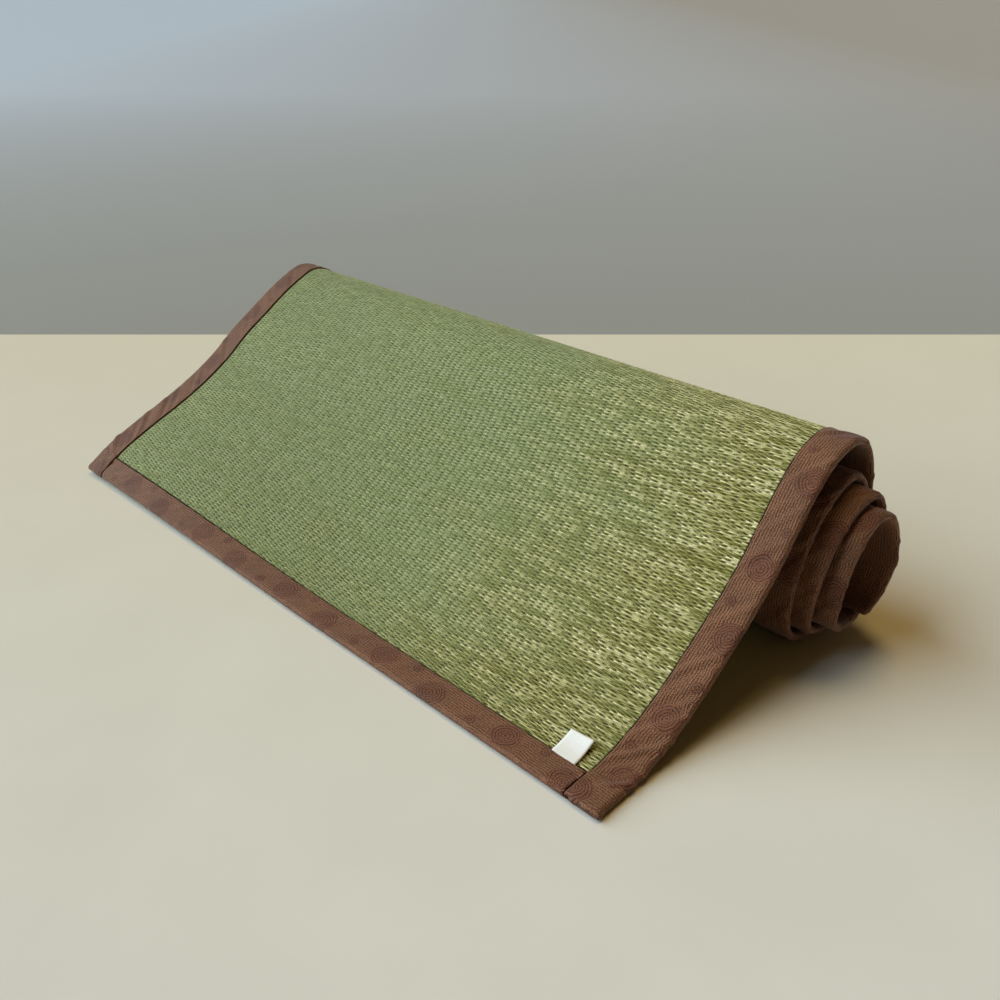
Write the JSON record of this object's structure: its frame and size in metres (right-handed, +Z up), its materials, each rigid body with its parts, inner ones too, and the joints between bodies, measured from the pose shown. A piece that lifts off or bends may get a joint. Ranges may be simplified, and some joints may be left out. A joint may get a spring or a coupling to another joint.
{
  "type": "tatami mat",
  "caption": "Woven rush mat with brown cloth binding, half unrolled: one end lies on the floor as a ramp and the rest is a loose roll with its inner turns slipped out sideways.",
  "frame": {"origin": "on the floor, under the middle of the whole mat", "axes": "+X along the roll, towards the end where its inner turns stand out; +Y from the laid-out end towards the roll; +Z up"},
  "size_m": [0.6356, 0.3034, 0.1423],
  "materials": {
    "rush": "woven rush, grey green to straw yellow, satin",
    "brown_cloth": "fine ribbed reddish brown cloth",
    "white_tape": "smooth white woven tape, bare"
  },
  "bodies": {
    "root": {"rush_panel": "rush", "binding_near": "brown_cloth", "binding_far": "brown_cloth", "binding_front": "brown_cloth", "binding_inner_end": "brown_cloth", "woven_label": "white_tape"}
  },
  "joints": []
}
